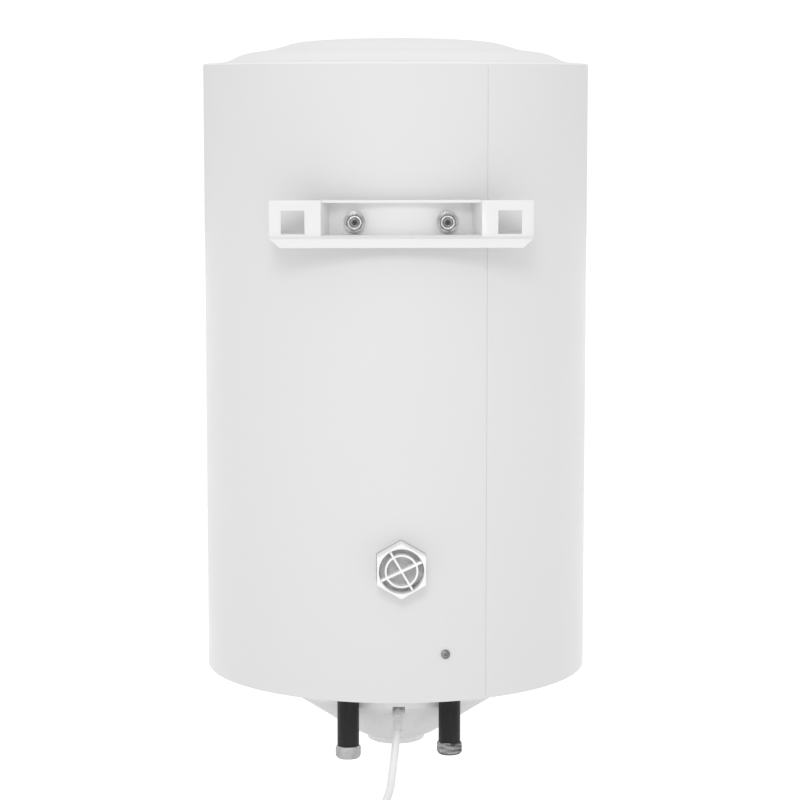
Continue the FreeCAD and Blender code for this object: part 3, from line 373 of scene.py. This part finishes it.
def rounded(node, width):
    """Stands for the node: its own shape with the sharp edges rounded by width, in metres."""
    name = node + "_shape"
    work = bmesh.new()
    work.from_mesh(NODES[node].data)
    bmesh.ops.remove_doubles(work, verts=work.verts, dist=MERGE_DISTANCE)
    bmesh.ops.dissolve_limit(work, angle_limit=FLAT_ANGLE, verts=work.verts, edges=work.edges)
    mesh = bpy.data.meshes.new(name)
    work.to_mesh(mesh)
    work.free()
    draft = bpy.data.objects.new(name, mesh)
    bevel = draft.modifiers.new("round", "BEVEL")
    bevel.width = width
    bevel.segments = ROUND_SEGMENTS
    bevel.limit_method = "ANGLE"
    bevel.angle_limit = CORNER_ANGLE
    bevel.harden_normals = False
    bpy.context.scene.collection.objects.link(draft)
    bpy.context.view_layer.update()
    graph = bpy.context.evaluated_depsgraph_get()
    shape = bpy.data.meshes.new_from_object(draft.evaluated_get(graph))
    bpy.data.objects.remove(draft)

    piece = bpy.data.objects.new(name, shape)
    bpy.context.scene.collection.objects.link(piece)
    shape.materials.clear()
    shape.materials.append(finish_of(node))
    shape.polygons.foreach_set("use_smooth", [True] * len(shape.polygons))
    shape.set_sharp_from_angle(angle=SHARP_ANGLE)
    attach(piece, body_of(node))
    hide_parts(node)


# ---------------------------------------------------------------- mains lead
PITCH = 7.8               # mm: the turns touch, so it is the lead's diameter too
CORD_DIAMETER = PITCH * MM
COIL_R, COIL_TURNS = 40.0, 4          # the coil's places and the routes are in mm
COIL_X, COIL_Y, COIL_Z = -8.0, 112.0, -632.0
COIL_LEFT = COIL_X - COIL_R
TAIL_Y = COIL_Y + COIL_TURNS * PITCH
CORD_ROUTE = [(0.0, 113.0, -467.0), (-1.2, 99.0, -481.5), (-3.6, 88.5, -500.0),
              (-6.4, 83.5, -521.5), (-9.0, 85.2, -544.0), (-17.8, 92.2, -565.6),
              (-32.3, 103.6, -581.6), (-41.9, 109.0, -597.9), (-47.0, 111.5, -614.7)]
TAIL_ROUTE = [(COIL_LEFT + 0.9, TAIL_Y, -650.0), (COIL_LEFT - 0.3, TAIL_Y + 0.6, -669.0),
              (COIL_LEFT, TAIL_Y, -688.0)]
TURN_POINTS = 16
CURVE_STEPS, ROUND_STEPS = 8, 6


def coil_points():
    """Turns side by side round a level axis; the points stand a little outside the lead's line."""
    reach = COIL_R / math.cos(math.pi / TURN_POINTS) ** 2
    points = []
    for i in range(COIL_TURNS * TURN_POINTS + 1):
        turn = 2 * math.pi * i / TURN_POINTS
        y = COIL_Y + PITCH * i / TURN_POINTS
        points.append((COIL_X - reach * math.cos(turn), y, COIL_Z - reach * math.sin(turn)))
    return points


def add_cord():
    """The mains lead in one piece: down from the cover, round the coil, and on to the plug."""
    points = [Vector(p) * MM for p in CORD_ROUTE + coil_points() + TAIL_ROUTE]
    curve = bpy.data.curves.new("mains_lead", "CURVE")
    curve.dimensions = "3D"
    spline = curve.splines.new("NURBS")
    spline.points.add(len(points) - 1)
    for target, point in zip(spline.points, points):
        target.co = (*point, 1.0)
    spline.order_u = 3
    spline.use_endpoint_u = True
    spline.resolution_u = CURVE_STEPS
    curve.bevel_depth = CORD_DIAMETER / 2
    curve.bevel_resolution = ROUND_STEPS
    curve.use_fill_caps = True
    lead = bpy.data.objects.new("mains_lead", curve)
    bpy.context.scene.collection.objects.link(lead)
    curve.materials.append(FINISHES["white_cord"])
    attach(lead, "root")
    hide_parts("mains_cord", "cord_coil", "cord_tail")


# ---------------------------------------------------------------- stage and light
FLOOR_REACH = 14.0        # metres from the heater's axis to each edge of the floor
FLOOR_DROP = 0.04         # metres from the lowest piece down to the floor
FLOOR_TONE, FLOOR_GLOW = 0.60, 0.60
SHADE_START, SHADE_END = 0.35, 0.75   # the floor is pale grey below the heater as a painted shadow, white beyond
SKY_LEVEL, SKY_TOP, SKY_SEEN = 0.78, 0.98, 1.05
HEART_Z = -0.15           # height that the key light is aimed at
KEY_OFFSET = (-0.25, -2.8, 1.45)      # from that point: wall side, above, a little to the left
KEY_SIZE, KEY_POWER = 0.9, 17.0


def add_stage():
    """A plain pale floor with a painted shadow below the heater, white where it runs out of the
    picture.
    """
    work = bmesh.new()
    bmesh.ops.create_grid(work, x_segments=1, y_segments=1, size=FLOOR_REACH)
    mesh = bpy.data.meshes.new("floor")
    work.to_mesh(mesh)
    work.free()
    floor = bpy.data.objects.new("floor", mesh)
    floor.location = (0.0, AXIS_Y, cad_box[0][2] - FLOOR_DROP)
    bpy.context.scene.collection.objects.link(floor)
    m = Recipe("floor", rough=0.9, specular=0.1)
    m.colour(m.noise(0.5, 2.0), grey(FLOOR_TONE), grey(FLOOR_TONE + 0.02))
    distance = m.tree.nodes.new("ShaderNodeVectorMath")
    distance.operation = "LENGTH"
    m.link(m.place, distance.inputs[0])
    # the glow starts only away from the heater's axis, so the pale grey below the heater is a
    # painted shadow
    glow = m.tree.nodes.new("ShaderNodeMapRange")
    glow.interpolation_type = "SMOOTHSTEP"
    glow.inputs["From Min"].default_value = SHADE_START
    glow.inputs["From Max"].default_value = SHADE_END
    glow.inputs["To Min"].default_value = 0.0
    glow.inputs["To Max"].default_value = FLOOR_GLOW
    m.link(distance.outputs["Value"], glow.inputs["Value"])
    m.set("Emission Color", (1, 1, 1, 1))
    m.link(glow.outputs["Result"], m.shader.inputs["Emission Strength"])
    floor.data.materials.append(m.material)


def add_world():
    """White surroundings, a little brighter overhead; the camera sees them as plain white."""
    world = bpy.data.worlds.new("studio")
    world.use_nodes = True
    tree = world.node_tree
    light = tree.nodes["Background"]
    light.inputs["Color"].default_value = (1, 1, 1, 1)
    split = tree.nodes.new("ShaderNodeSeparateXYZ")
    tree.links.new(tree.nodes.new("ShaderNodeTexCoord").outputs["Generated"], split.inputs[0])
    height = tree.nodes.new("ShaderNodeMapRange")
    height.inputs["To Min"].default_value = SKY_LEVEL
    height.inputs["To Max"].default_value = SKY_TOP
    tree.links.new(split.outputs["Z"], height.inputs["Value"])
    tree.links.new(height.outputs["Result"], light.inputs["Strength"])
    seen = tree.nodes.new("ShaderNodeBackground")
    seen.inputs["Color"].default_value = (1, 1, 1, 1)
    seen.inputs["Strength"].default_value = SKY_SEEN
    path = tree.nodes.new("ShaderNodeLightPath")
    mix = tree.nodes.new("ShaderNodeMixShader")
    tree.links.new(path.outputs["Is Camera Ray"], mix.inputs["Fac"])
    tree.links.new(light.outputs["Background"], mix.inputs[1])
    tree.links.new(seen.outputs["Background"], mix.inputs[2])
    tree.links.new(mix.outputs["Shader"], tree.nodes["World Output"].inputs["Surface"])
    bpy.context.scene.world = world


def add_key_light():
    heart = Vector((0.0, AXIS_Y, HEART_Z))
    place = heart + Vector(KEY_OFFSET)
    lamp_data = bpy.data.lights.new("key", "AREA")
    lamp_data.shape = "DISK"
    lamp_data.size = KEY_SIZE
    lamp_data.energy = KEY_POWER
    lamp = bpy.data.objects.new("key", lamp_data)
    lamp.location = place
    lamp.rotation_euler = (heart - place).to_track_quat("-Z", "Y").to_euler()
    bpy.context.scene.collection.objects.link(lamp)


# ---------------------------------------------------------------- build
ROUNDED = {               # width of the rounding, mm
    "wall_bracket": 1.0, "bracket_bolts": 0.45, "bracket_washers": 0.4, "spacer_socket": 0.5,
    "spacer_leg": 0.6, "spacer_screw": 0.35, "cold_socket": 0.5, "hot_socket": 0.4,
    "casing_screws": 0.25, "electrical_cover": 1.2, "thermostat_knob": 0.5,
    "strain_relief": 0.35, "thermometer_bezel": 0.5,
}
add_camera()
dress_frame()
add_cord()
for node, width in ROUNDED.items():
    rounded(node, width * MM)
add_stage()
add_world()
add_key_light()
bpy.context.scene.view_settings.view_transform = "Standard"
